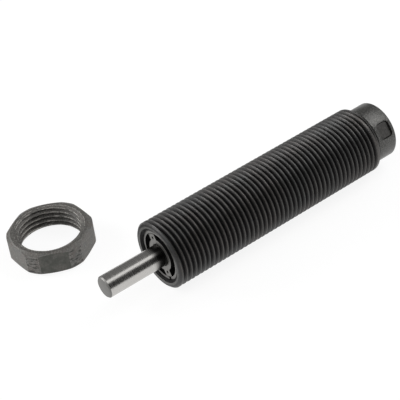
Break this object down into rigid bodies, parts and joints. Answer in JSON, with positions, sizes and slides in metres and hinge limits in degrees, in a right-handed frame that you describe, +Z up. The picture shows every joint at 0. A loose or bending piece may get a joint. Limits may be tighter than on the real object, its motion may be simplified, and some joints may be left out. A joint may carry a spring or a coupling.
{
  "type": "industrial shock absorber",
  "caption": "Hydraulic industrial shock absorber with a threaded steel body, a spring-returned rod, an end cap held by a retaining ring, and a loose hexagon lock nut.",
  "frame": {"origin": "on the cylinder's axis, at the front end of the full thread", "axes": "+X along the cylinder from the rod's end to the rear, +Z up; the body and the loose lock nut both stand on the plane z = -12.5 mm, and the nut lies on the +Y side"},
  "size_m": [0.1321, 0.0717, 0.025],
  "materials": {
    "black_steel": "black oxide over turned and rolled steel, satin",
    "spring_steel": "bright spring steel, lightly oiled",
    "cap_steel": "fine turned steel, satin",
    "guide_steel": "turned steel",
    "rod_chrome": "ground and hard chromed steel",
    "nut_steel": "phosphated steel, rough and mottled",
    "bearing_bronze": "sintered bronze",
    "polyurethane": "moulded polyurethane, satin",
    "nitrile": "moulded nitrile rubber",
    "ptfe": "turned plastic"
  },
  "bodies": {
    "root": {"outer_tube": "black_steel", "retaining_ring": "spring_steel", "gland_cap": "cap_steel", "rod_wiper": "polyurethane", "rod_guide": "guide_steel", "rod_seal": "polyurethane", "backup_ring": "ptfe", "guide_bush": "bearing_bronze", "guide_o_ring": "nitrile", "rebound_washer": "polyurethane", "foam_sleeve": "nitrile", "pressure_tube": "guide_steel", "rear_plug": "guide_steel", "plug_o_ring": "nitrile", "spring_seat": "guide_steel", "return_spring": "spring_steel", "fill_plug": "black_steel", "sealing_ball": "rod_chrome"},
    "rod": {"piston_rod": "rod_chrome", "piston": "guide_steel", "piston_ring": "bearing_bronze", "check_spacer": "guide_steel", "spring_retainer": "guide_steel", "piston_nut": "guide_steel"},
    "check": {"check_ring": "spring_steel"},
    "nut": {"lock_nut": "nut_steel"}
  },
  "joints": [
    {"name": "rod_slide", "type": "slide", "parent": "root", "child": "rod", "axis": [1, 0, 0], "range_m": [0, 0.02], "stiffness_N_per_m": 800, "springref_m": -0.015, "deforming": ["return_spring"]},
    {"name": "check_lift", "type": "slide", "parent": "rod", "child": "check", "axis": [1, 0, 0], "range_m": [0, 0.0006]},
    {"name": "nut_lift", "type": "slide", "parent": "root", "child": "nut", "axis": [0, 0, 1], "range_m": [0, 0.03]}
  ]
}
